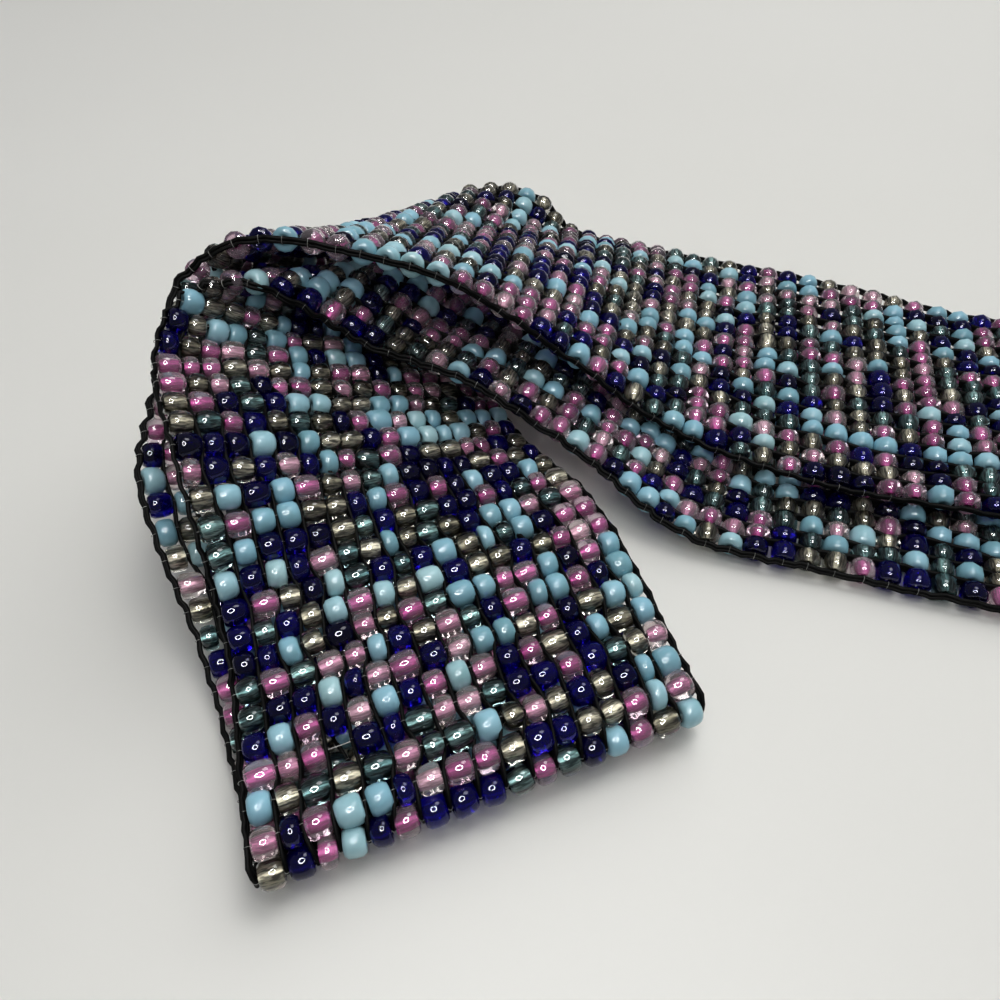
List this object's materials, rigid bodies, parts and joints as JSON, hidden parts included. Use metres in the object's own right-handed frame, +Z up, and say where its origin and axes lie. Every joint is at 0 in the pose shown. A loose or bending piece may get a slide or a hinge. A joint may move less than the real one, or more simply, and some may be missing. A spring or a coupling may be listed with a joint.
{
  "type": "beaded belt",
  "caption": "Wide loomed glass bead belt with dark cords between its bead columns, doubled over and folded diagonally, with plain end tabs and a flat clasp.",
  "frame": {"origin": "on the surface the belt lies on, under the middle of its bounding box", "axes": "+Z up; +X along the belt towards its free ends; +Y from the doubled end towards the diagonal fold"},
  "size_m": [0.3032, 0.145, 0.0405],
  "materials": {
    "beads": "glossy glass seed beads, mixed turquoise, pink lined, smoky silver lined, teal and cobalt",
    "cord": "dark waxed cord",
    "tab": "plain dark leather",
    "clasp": "satin grey metal"
  },
  "bodies": {
    "root": {"inner_band": "beads", "outer_band": "beads", "left_edge_cord": "cord", "right_edge_cord": "cord", "inner_end_tab": "tab", "outer_end_tab": "tab", "clasp": "clasp"}
  },
  "joints": []
}
